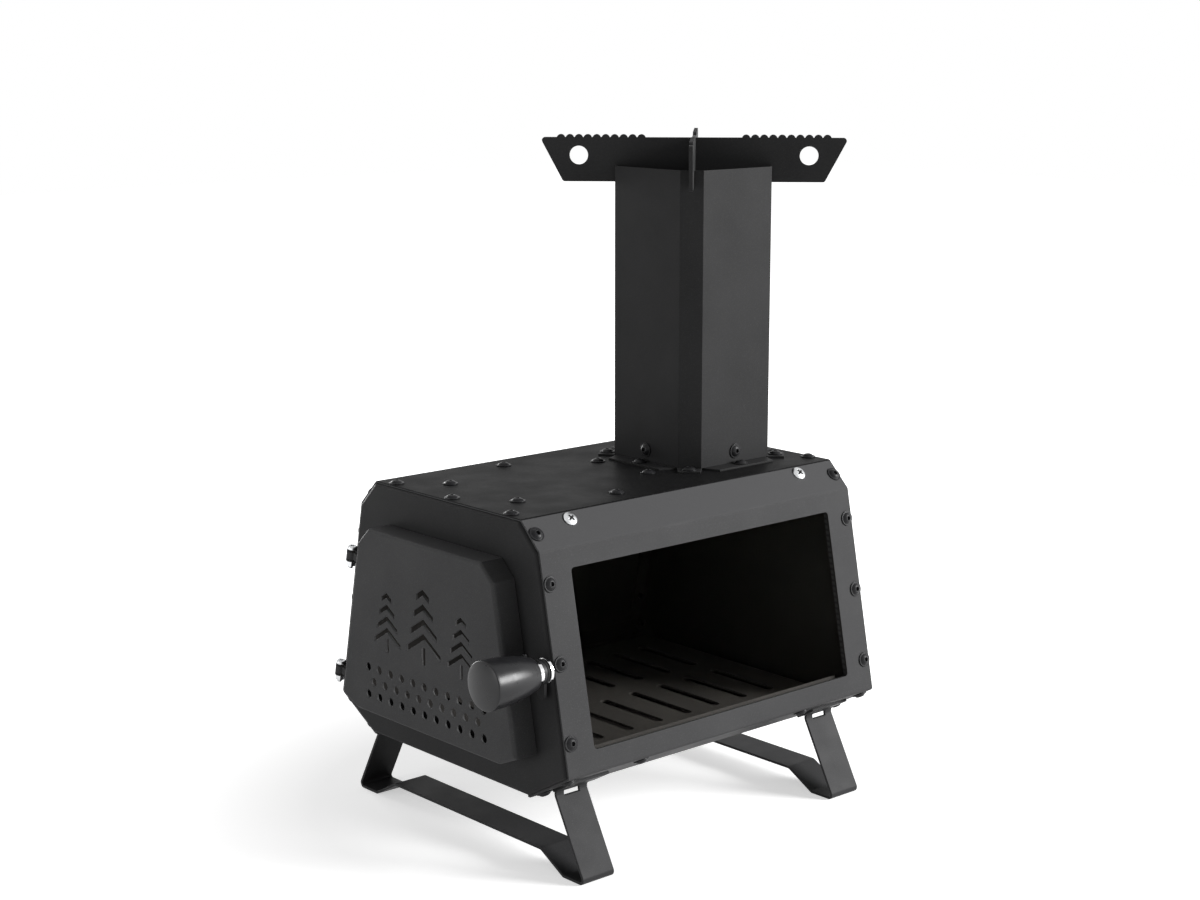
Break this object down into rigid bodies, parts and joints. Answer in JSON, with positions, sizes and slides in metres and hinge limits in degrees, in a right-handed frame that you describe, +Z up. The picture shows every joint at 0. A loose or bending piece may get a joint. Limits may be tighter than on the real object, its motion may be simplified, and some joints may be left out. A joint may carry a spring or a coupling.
{
  "type": "camping wood stove",
  "caption": "Folded-steel camping wood stove with a glazed front wall, hinged vented door and turn knob, square chimney with a lift-off toothed pot rack, on bent strap legs.",
  "frame": {"origin": "on the ground, in the middle of the footprint that runs from the knob's end to the rack's tip", "axes": "+Z up, +X from the door end towards the chimney end; the window faces -Y"},
  "size_m": [0.4034, 0.2814, 0.5297],
  "materials": {
    "black_steel": "satin",
    "door_steel": "satin",
    "leg_steel": "satin",
    "rack_steel": "satin",
    "inner_steel": "matte",
    "black_screws": "satin",
    "bright_steel": "brushed",
    "polished_ring": "polished",
    "knob_black": "satin gloss",
    "gasket_rope": "woven, matte",
    "stove_glass": "clear, slightly smoked"
  },
  "bodies": {
    "stove": {"outer_shell": "black_steel", "base_pan": "inner_steel", "door_end_plate": "black_steel", "back_end_plate": "black_steel", "window_gasket": "gasket_rope", "window_glass": "stove_glass", "glass_retainer_upper": "inner_steel", "glass_retainer_lower": "inner_steel", "upper_glass_screws": "bright_steel", "lower_glass_screws": "black_screws", "cooktop_plate": "inner_steel", "cooktop_screws": "black_screws", "fire_grate": "inner_steel", "flue_collar": "black_steel", "collar_screws": "black_screws", "chimney": "black_steel", "chimney_screws": "black_screws", "door_end_leg": "leg_steel", "back_end_leg": "leg_steel", "leg_screws": "black_screws", "front_shell_screws": "black_screws", "rear_shell_screws": "black_screws", "top_edge_screws": "black_screws", "hinge_brackets": "black_steel", "hinge_bolts": "bright_steel", "hinge_nuts": "bright_steel"},
    "door": {"door_pan": "door_steel", "door_hinge_leaves": "door_steel", "latch_keeper": "bright_steel"},
    "latch": {"latch_shaft": "bright_steel", "latch_clip": "bright_steel", "latch_cam": "black_steel", "knob_base_ring": "polished_ring", "knob_spacer": "black_steel", "knob_neck_ring": "polished_ring", "knob_grip": "knob_black"},
    "rack": {"rack_plate_long": "rack_steel", "rack_plate_cross": "rack_steel"}
  },
  "joints": [
    {"name": "door_hinge", "type": "hinge", "parent": "stove", "child": "door", "pos_m": [-0.14856, 0.12182, 0.157], "axis": [0, 0.1932, -0.9812], "range_deg": [0, 150]},
    {"name": "latch_turn", "type": "hinge", "parent": "stove", "child": "latch", "pos_m": [-0.14216, -0.11804, 0.1625], "axis": [1, 0, 0], "range_deg": [0, 90]},
    {"name": "rack_lift", "type": "slide", "parent": "stove", "child": "rack", "axis": [0, 0, 1], "range_m": [0, 0.05]}
  ]
}
